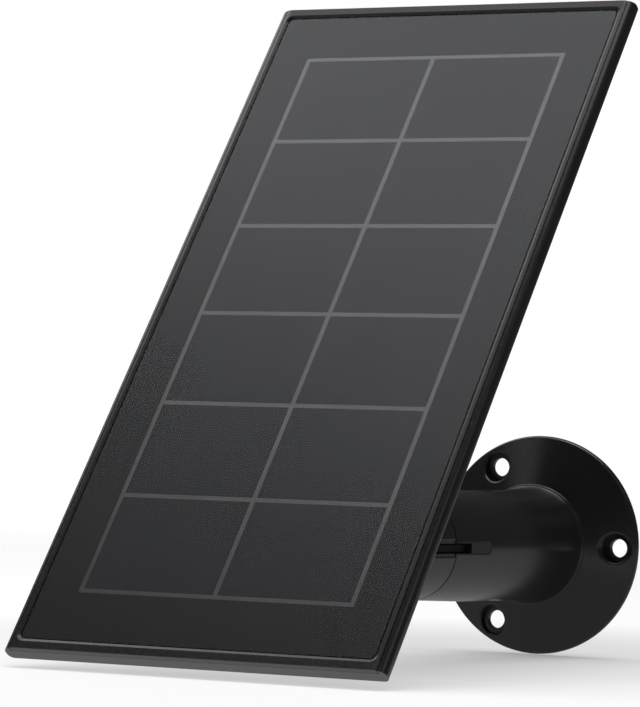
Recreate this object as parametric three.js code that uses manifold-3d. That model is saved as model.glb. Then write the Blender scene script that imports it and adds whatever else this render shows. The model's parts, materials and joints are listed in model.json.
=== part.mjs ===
// Wall-mounted solar charging panel for a security camera: a thin panel of twelve cells on a swivelling,
// tilting arm. Millimetres, +Z up. The origin is the middle of the mounting face, on the wall: +Y points into
// the wall, the arm runs out along -Y and +X is the panel's right-hand side as seen from in front.
import * as THREE from "three";
import { mergeVertices } from "three/addons/utils/BufferGeometryUtils.js";
import Module from "manifold-3d";

const wasm = await Module();
wasm.setup();

// ---------------------------------------------------------------- driving dimensions
const SIDES = 40; // facets round a large turned part
const SMALL_SIDES = 16; // facets round a screw or a hole
const GAP = 0.3; // clearance between pieces that fit together
const SHIM = 0.1; // clearance between pieces that lie face to face
const BREAK = 0.3; // chamfer on a moulded edge

const FLANGE_R = 30;
const FLANGE_RIM = -2.2; // front of the flange at its edge
const PAD_R = 18.7;
const PAD_T = 1;
const BOLT_CIRCLE_R = 24.3;
const BOLT_HOLE_R = 2.5;
const BOLT_POCKET_R = 3.95;
const BOLT_SEAT_Y = -1.6; // floor of the screw pockets
const BOLT_ANGLES = [0, 120, 240];

const RING_R = 16.6; // crisp ring where the flange meets the neck
const RING_Y = -7;
const NECK_R = 14.9;
const NECK_Y = -29;
const TUBE_MIDDLE = { r: 14.7, y: -51 };
const TUBE_R = 13.9; // at the seam
const BORE_R = 9.3;
const REAR_BORE_R = 8;
const SEAM_Y = -78.1; // where the end collar meets the arm
const COLLAR_END_Y = -94; // where the swivelling knuckle meets the end collar

const SCREW_SHOULDER_R = 4;
const SCREW_R = 3; // threads of the swivel screw and the pivot bolt
const SEAL_GROOVE = { inner: 10, outer: 12.2, depth: 1.2 };

const SLOT_H = 2.8;
const SLOT_END_Y = -59.6;
const SLOT_FLOOR = 13.4; // distance of the slot's floor from the arm's axis
const COLLAR_SLOT_H = 4.15;
const COLLAR_SLOT_END_Y = -91;
const KEY_H = 2.2;
const KEY_ENDS = [-89, -70.2];
const KEY_DEPTH = [9.7, 12.4]; // its bottom and top, from the arm's axis

const TILT = Math.atan2(3, 4); // lean of the panel from the vertical
const PANEL_CENTRE = new THREE.Vector3(0, -125, 58);
const PANEL_W = 104;
const PANEL_H = 209.5;
const PANEL_T = 4.6;
const PANEL_FRONT = 0.6; // the bezel's front stands this far in front of the glass
const CELL_COLUMNS = 2;
const CELL_ROWS = 6;
const CELL_PITCH = { x: 37.2, y: 28.91 };
const CELL_LINE = 1.25; // width of the pale lines between the cells
const PIVOT_DEPTH = 40; // from the glass to the tilt axis
const EAR_R = 12;
const EAR_INNER = 5.6; // half the gap between the ears
const BOLT_SEAT = 9.9; // half-width of the ears under the bolt head and the nut
const BOLT_HEAD_R = 5;
const TONGUE_R = 9;
const TONGUE_HALF = 4.4; // half its width
const BASE_NEAR = 16.9; // from the tilt axis to the bracket's base
const BASE_T = 4;
const BASE_R = 13;
const STUD_R = 3.175; // 1/4 inch camera thread
const STUD_SPAN = [12.2, 34]; // from the tilt axis
const LOCK_RING = { r: 12, t: 5, grips: 12, dent: 1.9 };

const GLASS = { w: 96.4, h: 203, faces: [0.05, 0.3], corner: 1.8 };
const WINDOW = { w: 97, h: 203.6, corner: 1.8 };
const POCKET = { w: 100.5, h: 208, corner: 1.2, floor: -2.6 };
const END_LEDGE = -0.9; // top of the tray's end walls, which the bezel covers
const BOARD = { w: 94.4, h: 200.6, corner: 0.8 };
const CELL_LAYER = [-0.25, -0.05];
const POD = { w: 60, h: 66, corner: 9, wall: 1.8, rim: -5, back: -12, inset: 1.2, shift: 3 };
const BOSS = { r: 9, face: -13.4 };
const INSERT_R = 5.2;
const POD_SCREW = { x: 23.5, y: 26.5, r: 1.2, head: 2.5 };
const GLAND_R = 1.9; // where it passes through the pod's wall
const GLAND = { x: 17, z: -7.6, bore: 1.5 };

// ---------------------------------------------------------------- places worked out from them
const PANEL_BACK = PANEL_FRONT - PANEL_T;
const SIDE_R = PANEL_T / 2; // the long sides are full rounds
const panelUp = new THREE.Vector3(0, Math.sin(TILT), Math.cos(TILT));
const panelOut = new THREE.Vector3(0, -Math.cos(TILT), Math.sin(TILT));
// The tilt axis crosses the arm's own axis, at the stated depth behind the glass.
const pivotY = PANEL_CENTRE.y + (PIVOT_DEPTH - PANEL_CENTRE.z * panelOut.z) / -panelOut.y;
const PIVOT = new THREE.Vector3(0, pivotY, 0);
const STUD_V = PIVOT.clone().sub(PANEL_CENTRE).dot(panelUp); // height of the stud on the panel
const FORK_FLOOR_Y = PIVOT.y + 11;

// ---------------------------------------------------------------- materials
const finish = (color, roughness, metalness = 0) =>
  new THREE.MeshStandardMaterial({ color, roughness, metalness });
const blackShell = finish(0x1b1b1c, 0.42);
const blackBezel = finish(0x1f1f20, 0.38);
const glassClear = finish(0x3a3c40, 0.12);
const cellDark = finish(0x101114, 0.25);
const lineGrey = finish(0x77787a, 0.5);
const maskBlack = finish(0x0d0d0e, 0.3);
const rubberBlack = finish(0x151515, 0.85);
const steel = finish(0x9a9b9c, 0.3, 1);
const brass = finish(0xb08d4a, 0.35, 1);
const boardGreen = finish(0x1c4a2c, 0.45);
const chipBlack = finish(0x161616, 0.5);

// ---------------------------------------------------------------- solids and booleans
function solidOf(geometry) {
  const bare = geometry.clone();
  bare.deleteAttribute("normal");
  bare.deleteAttribute("uv");
  const merged = mergeVertices(bare, 1e-4);
  return new wasm.Manifold(
    new wasm.Mesh({
      numProp: 3,
      vertProperties: new Float32Array(merged.attributes.position.array),
      triVerts: new Uint32Array(merged.index.array),
    }),
  );
}

function geometryOf(solid) {
  const found = solid.getMesh();
  const positions = new Float32Array(found.numVert * 3);
  for (let i = 0; i < found.numVert; i++) {
    const from = i * found.numProp;
    positions.set(found.vertProperties.subarray(from, from + 3), i * 3);
  }
  return new THREE.BufferGeometry()
    .setAttribute("position", new THREE.BufferAttribute(positions, 3))
    .setIndex(new THREE.BufferAttribute(new Uint32Array(found.triVerts), 1));
}

const cut = (geometry, ...tools) =>
  geometryOf(tools.reduce((left, tool) => left.subtract(solidOf(tool)), solidOf(geometry)));
const join = (geometry, ...others) =>
  geometryOf(others.reduce((sum, other) => sum.add(solidOf(other)), solidOf(geometry)));
const common = (a, b) => geometryOf(solidOf(a).intersect(solidOf(b)));

// Turns [radius, height] points about Y, or about the axis named. The outline is listed either way round.
function turned(outline, axis = "y", sides = SIDES) {
  const points = outline.map(([r, h]) => new THREE.Vector2(r, h));
  if (THREE.ShapeUtils.isClockWise(points)) points.reverse();
  if (outline.every(([r]) => r > 0)) points.push(points[0].clone());
  const made = new THREE.LatheGeometry(points, sides);
  if (axis === "x") made.rotateZ(-Math.PI / 2);
  if (axis === "z") made.rotateX(Math.PI / 2);
  return made;
}

function rod(radius, from, to, axis, sides = SIDES) {
  return turned([[0, from], [radius, from], [radius, to], [0, to]], axis, sides);
}

function ring(inner, outer, from, to, axis, sides = SIDES) {
  return turned([[inner, from], [outer, from], [outer, to], [inner, to]], axis, sides);
}

function block([x0, x1], [y0, y1], [z0, z1]) {
  return new THREE.BoxGeometry(x1 - x0, y1 - y0, z1 - z0)
    .translate((x0 + x1) / 2, (y0 + y1) / 2, (z0 + z1) / 2);
}

function roundedRect(width, height, radius, [cx, cy] = [0, 0], path = new THREE.Shape()) {
  const [x, y] = [width / 2, height / 2];
  const corners = [[x, y, 0], [-x, y, 90], [-x, -y, 180], [x, -y, 270]];
  for (const [px, py, start] of corners) {
    const a = THREE.MathUtils.degToRad(start);
    const [ax, ay] = [cx + px - Math.sign(px) * radius, cy + py - Math.sign(py) * radius];
    path.absarc(ax, ay, radius, a, a + Math.PI / 2, false);
  }
  path.closePath();
  return path;
}

// Extrudes a shape drawn in X and Y from z0 to z1.
function plate(shape, [z0, z1], curveSegments = 6) {
  return new THREE.ExtrudeGeometry(shape, { depth: z1 - z0, bevelEnabled: false, curveSegments })
    .translate(0, 0, z0);
}

// Extrudes a shape whose Y is drawn as Z, along Y from y0 to y1.
function bar(shape, [y0, y1], curveSegments = 6) {
  return new THREE.ExtrudeGeometry(shape, { depth: y1 - y0, bevelEnabled: false, curveSegments })
    .rotateX(Math.PI / 2)
    .translate(0, y1, 0);
}

// Extrudes a shape whose X is drawn as Y and whose Y is drawn as Z, along X from x0 to x1.
function across(shape, [x0, x1], curveSegments = 10) {
  return new THREE.ExtrudeGeometry(shape, { depth: x1 - x0, bevelEnabled: false, curveSegments })
    .rotateY(Math.PI / 2)
    .rotateX(Math.PI / 2)
    .translate(x0, 0, 0);
}

const part = new THREE.Group();
function add(group, name, geometry, material) {
  const mesh = new THREE.Mesh(geometry, material);
  mesh.name = name;
  group.add(mesh);
}

// ---------------------------------------------------------------- wall mount
const mount = new THREE.Group();
part.add(mount);

const boltPlaces = BOLT_ANGLES.map((degrees) => {
  const a = THREE.MathUtils.degToRad(degrees);
  return [BOLT_CIRCLE_R * Math.cos(a), BOLT_CIRCLE_R * Math.sin(a)];
});
const boltCutters = (radius, from, to) =>
  boltPlaces.map(([x, z]) => rod(radius, from, to, "y", SMALL_SIDES).translate(x, 0, z));

const wallPad = () => rod(PAD_R, -PAD_T, 0);

// Flange, neck and tube in one moulding, hollow from both ends with a web between.
function armBody() {
  const recess = -PAD_T - GAP;
  const web = [-45, -38];
  const foot = { r: RING_R - 0.6, y: RING_Y - 1.2 };
  const neck = [];
  for (let i = 0; i <= 6; i++) {
    const a = (i / 6) * (Math.PI / 2);
    neck.push([
      foot.r - (foot.r - NECK_R) * Math.sin(a),
      foot.y + (NECK_Y - foot.y) * (1 - Math.cos(a)),
    ]);
  }
  const outline = [
    [0, web[1]],
    [REAR_BORE_R, web[1]],
    [REAR_BORE_R, recess],
    [PAD_R + GAP, recess],
    [PAD_R + GAP, 0],
    [FLANGE_R - BREAK, 0],
    [FLANGE_R, -BREAK],
    [FLANGE_R, FLANGE_RIM + BREAK],
    [FLANGE_R - BREAK, FLANGE_RIM],
    [RING_R, RING_Y],
    [RING_R, RING_Y - 0.6],
    ...neck,
    [TUBE_MIDDLE.r, TUBE_MIDDLE.y],
    [TUBE_R, SEAM_Y + BREAK],
    [TUBE_R - BREAK, SEAM_Y],
    [BORE_R, SEAM_Y],
    [BORE_R, web[0]],
    [0, web[0]],
  ];
  const half = SLOT_H / 2;
  const beyond = TUBE_R + 3;
  return cut(
    turned(outline),
    ...boltCutters(BOLT_HOLE_R, -8, 1),
    ...boltCutters(BOLT_POCKET_R, -12, BOLT_SEAT_Y),
    block([SLOT_FLOOR, beyond], [SEAM_Y - 1, SLOT_END_Y - half], [-half, half]),
    rod(half, SLOT_FLOOR, beyond, "x", SMALL_SIDES).translate(0, SLOT_END_Y - half, 0),
    keySpace(),
  );
}

// The room the key takes in the walls of the arm and the collar, open to the outside.
function keySpace() {
  const half = KEY_H / 2 + 0.2;
  return block([KEY_DEPTH[0] - GAP, TUBE_R + 3], [KEY_ENDS[0] - GAP, KEY_ENDS[1] + GAP], [-half, half]);
}

// Bearing collar keyed into the end of the arm. Its rear spigot fits the bore and its front socket takes
// the knuckle.
const SPIGOT_BACK = -59;
const WEB_BACK = -69;
const WEB_FRONT = -81;
const SPIGOT_BORE_R = 7.8;
const SOCKET_R = 8.2;
function endCollar() {
  const face = SEAM_Y - GAP;
  const spigot = BORE_R - GAP;
  const outline = [
    [SPIGOT_BORE_R, SPIGOT_BACK],
    [spigot - BREAK, SPIGOT_BACK],
    [spigot, SPIGOT_BACK - BREAK],
    [spigot, face],
    [TUBE_R - BREAK, face],
    [TUBE_R, face - BREAK],
    [TUBE_R, COLLAR_END_Y + BREAK],
    [TUBE_R - BREAK, COLLAR_END_Y],
    [SOCKET_R, COLLAR_END_Y],
    [SOCKET_R, WEB_FRONT],
    [SCREW_SHOULDER_R + GAP, WEB_FRONT],
    [SCREW_SHOULDER_R + GAP, WEB_BACK],
    [SPIGOT_BORE_R, WEB_BACK],
  ];
  const beyond = TUBE_R + 2;
  const half = COLLAR_SLOT_H / 2;
  const slotEnd = COLLAR_SLOT_END_Y + half;
  return cut(
    turned(outline),
    block([SLOT_FLOOR, beyond], [slotEnd, face + 1], [-half, half]),
    rod(half, SLOT_FLOOR, beyond, "x", SMALL_SIDES).translate(0, slotEnd, 0),
    keySpace(),
    ring(SEAL_GROOVE.inner, SEAL_GROOVE.outer, COLLAR_END_Y - 1, COLLAR_END_Y + SEAL_GROOVE.depth, "y"),
  );
}

// Flat key that bridges the seam between arm and collar, sunk below the floor of the slot.
const lockingKey = () => block(KEY_DEPTH, KEY_ENDS, [-KEY_H / 2, KEY_H / 2]);

const washerFaces = [WEB_BACK + SHIM, WEB_BACK + SHIM + 1];
const swivelWasher = () =>
  ring(SCREW_SHOULDER_R + GAP, SPIGOT_BORE_R - GAP, ...washerFaces, "y", 24);

// Round section that fills the groove in the collar's front face.
function swivelSeal() {
  const middle = (SEAL_GROOVE.inner + SEAL_GROOVE.outer) / 2;
  const radius = 0.65;
  const section = [];
  for (let i = 0; i < 6; i++) {
    const a = (i / 6) * 2 * Math.PI;
    section.push([middle + radius * Math.cos(a), COLLAR_END_Y + 0.45 + radius * Math.sin(a)]);
  }
  return turned(section, "y", 30);
}

add(mount, "wall_pad", wallPad(), rubberBlack);
add(mount, "arm_body", armBody(), blackShell);
add(mount, "end_collar", endCollar(), blackShell);
add(mount, "locking_key", lockingKey(), chipBlack);
add(mount, "swivel_washer", swivelWasher(), steel);
add(mount, "swivel_seal", swivelSeal(), rubberBlack);

// ---------------------------------------------------------------- swivel knuckle
const SWIVEL_SCREW_END = WEB_FRONT - 10;
const head = new THREE.Group();
part.add(head);

// The tube's line carried on, cut to a fork with round ears. Its rear spigot turns in the collar's socket.
function swivelKnuckle() {
  const rear = WEB_FRONT - GAP;
  const back = COLLAR_END_Y - GAP;
  const front = PIVOT.y - EAR_R - 2;
  const spigot = SOCKET_R - GAP;
  const body = turned([
    [0, rear],
    [spigot - BREAK, rear],
    [spigot, rear - BREAK],
    [spigot, back],
    [TUBE_R - BREAK, back],
    [TUBE_R, back - BREAK],
    [TUBE_R, front],
    [0, front],
  ]);
  const reach = TUBE_R + 1;
  const neck = { y: PIVOT.y + EAR_R + 3, curve: 2 };
  const side = new THREE.Shape();
  side.moveTo(rear + 1, -reach);
  side.lineTo(rear + 1, reach);
  side.lineTo(neck.y, reach);
  side.quadraticCurveTo(neck.y - neck.curve, EAR_R, PIVOT.y, EAR_R);
  side.absarc(PIVOT.y, 0, EAR_R, Math.PI / 2, (3 * Math.PI) / 2, false);
  side.quadraticCurveTo(neck.y - neck.curve, -EAR_R, neck.y, -reach);
  side.closePath();
  const pocket = (from, to) => rod(BOLT_HEAD_R + GAP, from, to, "x", 24).translate(0, PIVOT.y, 0);
  return cut(
    common(body, across(side, [-reach, reach])),
    block([-EAR_INNER, EAR_INNER], [front - 1, FORK_FLOOR_Y], [-reach, reach]),
    rod(SCREW_R + GAP, -reach, reach, "x", SMALL_SIDES).translate(0, PIVOT.y, 0),
    pocket(BOLT_SEAT, reach),
    pocket(-reach, -BOLT_SEAT),
    rod(SCREW_R + GAP, SWIVEL_SCREW_END - 1, WEB_FRONT, "y", SMALL_SIDES),
  );
}

// A hexagonal hollow for a key, across its corners.
const hexSocket = (radius, from, to, axis) => rod(radius, from, to, axis, 6);

// Shoulder screw that holds the knuckle in the collar. It goes in from behind, before the collar goes into
// the arm.
function swivelScrew() {
  const seat = washerFaces[1] + SHIM;
  const head = { r: 6, t: 4, socket: 2.9 };
  const body = turned([
    [0, seat + head.t],
    [head.r - BREAK, seat + head.t],
    [head.r, seat + head.t - BREAK],
    [head.r, seat],
    [SCREW_SHOULDER_R, seat],
    [SCREW_SHOULDER_R, WEB_FRONT - SHIM],
    [SCREW_R, WEB_FRONT - SHIM],
    [SCREW_R, SWIVEL_SCREW_END],
    [0, SWIVEL_SCREW_END],
  ], "y", 24);
  return cut(body, hexSocket(head.socket, seat + 1.5, seat + head.t + 1, "y"));
}

function pivotBolt() {
  const seat = BOLT_SEAT + SHIM;
  const end = TUBE_R - 0.9;
  const body = turned([
    [0, -end],
    [SCREW_R, -end],
    [SCREW_R, seat],
    [BOLT_HEAD_R, seat],
    [BOLT_HEAD_R, end - BREAK],
    [BOLT_HEAD_R - BREAK, end],
    [0, end],
  ], "x", 24);
  return cut(body, hexSocket(2.3, end - 2, end + 1, "x")).translate(0, PIVOT.y, 0);
}

function pivotNut() {
  const faces = [-BOLT_SEAT - SHIM - 2.6, -BOLT_SEAT - SHIM];
  const hexagon = rod(BOLT_HEAD_R - SHIM, ...faces, "x", 6);
  const hole = rod(SCREW_R + SHIM, faces[0] - 1, faces[1] + 1, "x", 24);
  return cut(hexagon, hole).translate(0, PIVOT.y, 0);
}

add(head, "swivel_knuckle", swivelKnuckle(), blackShell);
add(head, "swivel_screw", swivelScrew(), steel);
add(head, "pivot_bolt", pivotBolt(), steel);
add(head, "pivot_nut", pivotNut(), steel);

// ---------------------------------------------------------------- tilt bracket
// Its frame has the tilt axis as X and points Z out of the panel.
const turnWithPanel = Math.PI / 2 - TILT;
const bracket = new THREE.Group();
bracket.position.copy(PIVOT);
bracket.rotation.x = turnWithPanel;
part.add(bracket);

function tiltBracket() {
  const flare = { half: TONGUE_R + 1, z: BASE_NEAR + 1, waist: TONGUE_R - 1.5 };
  const side = new THREE.Shape();
  side.absarc(0, 0, TONGUE_R, Math.PI, 2 * Math.PI, false);
  side.quadraticCurveTo(flare.waist, BASE_NEAR * 0.6, flare.half, flare.z);
  side.lineTo(-flare.half, flare.z);
  side.quadraticCurveTo(-flare.waist, BASE_NEAR * 0.6, -TONGUE_R, 0);
  const tongue = across(side, [-TONGUE_HALF, TONGUE_HALF]);
  const far = BASE_NEAR + BASE_T;
  const base = turned([
    [0, BASE_NEAR],
    [BASE_R - 1, BASE_NEAR],
    [BASE_R, BASE_NEAR + 1],
    [BASE_R, far],
    [0, far],
  ], "z");
  return cut(
    join(tongue, base),
    rod(SCREW_R + GAP, -TONGUE_HALF - 1, TONGUE_HALF + 1, "x", SMALL_SIDES),
    rod(STUD_R + GAP, STUD_SPAN[0] - GAP, far + 1, "z", SMALL_SIDES),
  );
}

// Lies between the tongue and the ear on the side given, 1 or -1.
function frictionWasher(side) {
  const faces = [TONGUE_HALF + SHIM, EAR_INNER - SHIM].map((x) => side * x).sort((a, b) => a - b);
  return ring(SCREW_R + GAP, TONGUE_R - GAP, ...faces, "x", 24);
}

// Thumb ring on the stud, which locks the panel's turn on the bracket.
function lockRing() {
  const { r, t, grips, dent } = LOCK_RING;
  const near = BASE_NEAR + BASE_T + GAP;
  const far = near + t;
  const edge = 0.6;
  const body = turned([
    [STUD_R + GAP, near],
    [r - edge, near],
    [r, near + edge],
    [r, far - edge],
    [r - edge, far],
    [STUD_R + GAP, far],
  ], "z", 36);
  const dents = [];
  for (let i = 0; i < grips; i++) {
    const a = (i / grips) * 2 * Math.PI;
    const reach = r + 1.1;
    dents.push(rod(dent, near - 1, far + 1, "z", 8).translate(reach * Math.cos(a), reach * Math.sin(a), 0));
  }
  return cut(body, ...dents);
}

add(bracket, "tilt_bracket", tiltBracket(), blackShell);
add(bracket, "friction_washer_right", frictionWasher(1), rubberBlack);
add(bracket, "friction_washer_left", frictionWasher(-1), rubberBlack);
add(bracket, "mounting_stud", rod(STUD_R, ...STUD_SPAN, "z", 24), steel);
add(bracket, "lock_ring", lockRing(), blackShell);

// ---------------------------------------------------------------- solar panel
// Its frame lies on the glass: X to the right, Y up it and Z out.
const panel = new THREE.Group();
panel.position.copy(PANEL_CENTRE);
panel.rotation.x = turnWithPanel;
part.add(panel);

const podY = STUD_V + POD.shift;
const podScrews = [[-1, -1], [1, -1], [1, 1], [-1, 1]]
  .map(([sx, sy]) => [sx * POD_SCREW.x, podY + sy * POD_SCREW.y]);
const podHole = (radius, from, to) => ([x, y]) => rod(radius, from, to, "z", 12).translate(x, y, 0);
const glandPlace = [GLAND.x, podY - POD.h / 2, GLAND.z];

// The whole panel's outline: full-round long sides and flat-cut ends.
function slab() {
  const flat = PANEL_W / 2 - SIDE_R;
  const middle = PANEL_FRONT - SIDE_R;
  const section = new THREE.Shape();
  section.absarc(flat, middle, SIDE_R, -Math.PI / 2, Math.PI / 2, false);
  section.absarc(-flat, middle, SIDE_R, Math.PI / 2, (3 * Math.PI) / 2, false);
  section.closePath();
  return bar(section, [-PANEL_H / 2, PANEL_H / 2], 10);
}

// Tray with four screw bosses and a hole for the wires, behind the pod.
function rearHousing() {
  const wires = roundedRect(16, 8, 2, [0, podY + 24]);
  const tray = cut(
    slab(),
    plate(roundedRect(POCKET.w, POCKET.h, POCKET.corner), [POCKET.floor, PANEL_FRONT + 1], 3),
    block([-POCKET.w / 2, POCKET.w / 2], [-PANEL_H, PANEL_H], [END_LEDGE - SHIM, PANEL_FRONT + 1]),
    plate(wires, [PANEL_BACK - 1, 0], 3),
  );
  const bosses = podScrews.map(podHole(3.1, -9.8, PANEL_BACK + 0.4));
  const pilots = podScrews.map(podHole(POD_SCREW.r + GAP, -11, POCKET.floor - 0.7));
  return cut(join(tray, ...bosses), ...pilots);
}

// Rim round the glass. Its skirt stands on the tray's floor, with a ledge under the glass, and its cap runs
// over the tray's end walls.
function frontBezel() {
  const width = POCKET.w - 2 * GAP;
  const skirt = plate(roundedRect(width, POCKET.h - 2 * GAP, 1), [POCKET.floor + SHIM, PANEL_FRONT], 3);
  const window = roundedRect(WINDOW.w, WINDOW.h, WINDOW.corner);
  const opening = roundedRect(BOARD.w + 2 * GAP, BOARD.h + 2 * GAP, 1);
  const above = PANEL_FRONT + 1;
  const cap = block([-width / 2, width / 2], [-PANEL_H, PANEL_H], [END_LEDGE, above]);
  return cut(
    common(slab(), join(skirt, cap)),
    plate(window, [CELL_LAYER[0], above], 4),
    plate(opening, [PANEL_BACK, above], 4),
  );
}

// A flat frame between two rounded rectangles, each given as its width, height, corner radius and centre.
function flatFrame(outer, inner, [z0, z1], segments = 4) {
  const shape = roundedRect(...outer);
  shape.holes.push(roundedRect(...inner, new THREE.Path()));
  return plate(shape, [z0, z1], segments);
}

function solarCell(column, row) {
  const x = (column - (CELL_COLUMNS - 1) / 2) * CELL_PITCH.x;
  const y = ((CELL_ROWS - 1) / 2 - row) * CELL_PITCH.y;
  const [hx, hy] = [(CELL_PITCH.x - CELL_LINE) / 2, (CELL_PITCH.y - CELL_LINE) / 2];
  return block([x - hx, x + hx], [y - hy, y + hy], CELL_LAYER);
}

// Black surround between the outermost pale line and the edge of the board.
function borderMask() {
  const inner = [CELL_COLUMNS * CELL_PITCH.x + CELL_LINE, CELL_ROWS * CELL_PITCH.y + CELL_LINE];
  return flatFrame([BOARD.w, BOARD.h, BOARD.corner, [0, 0]], [...inner, 0.05, [0, 0]], CELL_LAYER, 1);
}

function glassSeal() {
  const margin = 0.35;
  const outer = [GLASS.w - margin / 2, GLASS.h - margin, GLASS.corner, [0, 0]];
  const inner = [BOARD.w + 2 * margin, BOARD.h + 2 * margin, 1, [0, 0]];
  return flatFrame(outer, inner, [CELL_LAYER[0] + SHIM, GLASS.faces[0] - SHIM], 3);
}

// Cover of the electronics on the panel's back, with a boss for the brass insert.
function rearPod() {
  const outline = (grow) => roundedRect(POD.w + 2 * grow, POD.h + 2 * grow, POD.corner + grow, [0, podY]);
  const floor = POD.back + POD.wall;
  const walls = cut(
    plate(outline(0), [POD.back + POD.inset, POD.rim], 4),
    plate(outline(-POD.wall), [floor, POD.rim + 1], 4),
  );
  const lid = join(
    walls,
    plate(outline(-POD.inset), [POD.back, floor], 4),
    ...podScrews.map(podHole(4, POD.back + 0.5, -10.1)),
    rod(BOSS.r, BOSS.face, POD.rim - 0.2, "z", 32).translate(0, STUD_V, 0),
  );
  return cut(
    lid,
    ...podScrews.map(podHole(POD_SCREW.r + GAP, BOSS.face, -8)),
    ...podScrews.map(podHole(POD_SCREW.head + GAP, BOSS.face, POD.back + 0.9)),
    rod(INSERT_R + GAP, BOSS.face - 1, POD.rim + 1, "z", 24).translate(0, STUD_V, 0),
    rod(GLAND_R + GAP, -1, POD.wall + 1, "y", SMALL_SIDES).translate(...glandPlace),
  );
}

function podSeal() {
  const inset = (by) => [POD.w - 2 * by, POD.h - 2 * by, POD.corner - by, [0, podY]];
  return flatFrame(inset(0.2), inset(POD.wall), [POD.rim + SHIM, PANEL_BACK - SHIM], 4);
}

// Cross-head screw from the pod into the tray's boss.
function podScrew([x, y]) {
  const top = POD.back + 0.8;
  const body = turned([
    [0, top - 1.5],
    [POD_SCREW.head - 0.6, top - 1.5],
    [POD_SCREW.head, top - 0.9],
    [POD_SCREW.head, top],
    [POD_SCREW.r, top],
    [POD_SCREW.r, -4],
    [0, -4],
  ], "z", 12);
  const long = [-1.3, 1.3];
  const narrow = [-0.3, 0.3];
  const depth = [top - 3, top - 0.7];
  return cut(body, block(long, narrow, depth), block(narrow, long, depth)).translate(x, y, 0);
}

// Gland in the pod's lower wall, where the charging lead leaves.
function cableGland() {
  const lip = { r: 3.2, t: 2 };
  const inside = { r: 2.45, t: 1 };
  return turned([
    [GLAND.bore, -SHIM - lip.t],
    [lip.r - 0.4, -SHIM - lip.t],
    [lip.r, -SHIM - lip.t + 0.4],
    [lip.r, -SHIM],
    [GLAND_R, -SHIM],
    [GLAND_R, POD.wall + SHIM],
    [inside.r, POD.wall + SHIM],
    [inside.r, POD.wall + SHIM + inside.t],
    [GLAND.bore, POD.wall + SHIM + inside.t],
  ], "y", SMALL_SIDES).translate(...glandPlace);
}

function threadedInsert() {
  const faces = [BOSS.face + SHIM, POD.rim - 0.6];
  return ring(STUD_R + GAP, INSERT_R, ...faces, "z", 24).translate(0, STUD_V, 0);
}

add(panel, "rear_housing", rearHousing(), blackShell);
add(panel, "front_bezel", frontBezel(), blackBezel);
add(panel, "cover_glass", plate(roundedRect(GLASS.w, GLASS.h, GLASS.corner), GLASS.faces, 4), glassClear);
add(panel, "glass_seal", glassSeal(), rubberBlack);
for (let row = 0; row < CELL_ROWS; row++)
  for (let column = 0; column < CELL_COLUMNS; column++)
    add(panel, `solar_cell_${row + 1}_${column + 1}`, solarCell(column, row), cellDark);
add(panel, "border_mask", borderMask(), maskBlack);
const cellBoard = [POCKET.floor + GAP, CELL_LAYER[0] - SHIM];
add(panel, "cell_board", plate(roundedRect(BOARD.w, BOARD.h, BOARD.corner), cellBoard, 3), lineGrey);
add(panel, "rear_pod", rearPod(), blackShell);
add(panel, "pod_seal", podSeal(), rubberBlack);
podScrews.forEach((place, i) => add(panel, `pod_screw_${i + 1}`, podScrew(place), steel));
add(panel, "threaded_insert", threadedInsert(), brass);
add(panel, "cable_gland", cableGland(), rubberBlack);

// ---------------------------------------------------------------- charge controller, in the pod
const boardY = podY + 19.5;
const boardFaces = [-8.2, -7];
const onBoard = ([x0, x1], [y0, y1], height) =>
  block([x0, x1], [boardY + y0, boardY + y1], [boardFaces[1] + SHIM, boardFaces[1] + SHIM + height]);
add(panel, "charge_board", block([-17, 17], [boardY - 8, boardY + 8], boardFaces), boardGreen);
add(panel, "board_inductor", onBoard([-12, -6], [-4, 2], 1.7), chipBlack);
add(panel, "board_regulator", onBoard([-2, 3], [-3, 2], 1.1), chipBlack);
add(panel, "board_connector", onBoard([8, 15], [-5, 1], 1.9), lineGrey);

export default part;
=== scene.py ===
"""Looks of a wall-mounted solar charging panel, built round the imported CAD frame. Metres, +Z up."""

import json
import math

import bmesh
import bpy
from mathutils import Matrix, Vector


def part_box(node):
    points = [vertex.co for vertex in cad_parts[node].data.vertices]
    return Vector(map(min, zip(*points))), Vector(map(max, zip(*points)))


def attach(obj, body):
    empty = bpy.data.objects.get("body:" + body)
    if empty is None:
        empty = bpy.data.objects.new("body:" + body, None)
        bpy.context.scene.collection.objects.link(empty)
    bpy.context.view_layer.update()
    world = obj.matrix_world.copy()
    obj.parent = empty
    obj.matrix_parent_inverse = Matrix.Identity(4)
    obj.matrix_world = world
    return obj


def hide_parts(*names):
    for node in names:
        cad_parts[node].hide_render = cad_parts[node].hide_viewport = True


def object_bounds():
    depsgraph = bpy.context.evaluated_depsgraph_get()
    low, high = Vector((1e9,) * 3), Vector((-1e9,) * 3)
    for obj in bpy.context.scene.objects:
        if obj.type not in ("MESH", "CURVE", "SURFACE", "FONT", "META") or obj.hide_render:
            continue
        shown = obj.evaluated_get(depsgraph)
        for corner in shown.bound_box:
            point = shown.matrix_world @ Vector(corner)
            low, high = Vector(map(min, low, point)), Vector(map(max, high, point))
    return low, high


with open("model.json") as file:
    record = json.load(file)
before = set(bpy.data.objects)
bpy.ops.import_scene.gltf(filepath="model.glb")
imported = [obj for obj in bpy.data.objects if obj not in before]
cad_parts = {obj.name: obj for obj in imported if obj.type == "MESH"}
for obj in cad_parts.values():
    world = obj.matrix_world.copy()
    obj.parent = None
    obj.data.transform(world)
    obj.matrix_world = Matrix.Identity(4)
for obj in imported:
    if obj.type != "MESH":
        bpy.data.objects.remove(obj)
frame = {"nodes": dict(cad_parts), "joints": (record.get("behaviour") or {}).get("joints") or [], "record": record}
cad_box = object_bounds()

MM = 0.001
joints = {joint["name"]: joint for joint in frame["joints"]}

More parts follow.
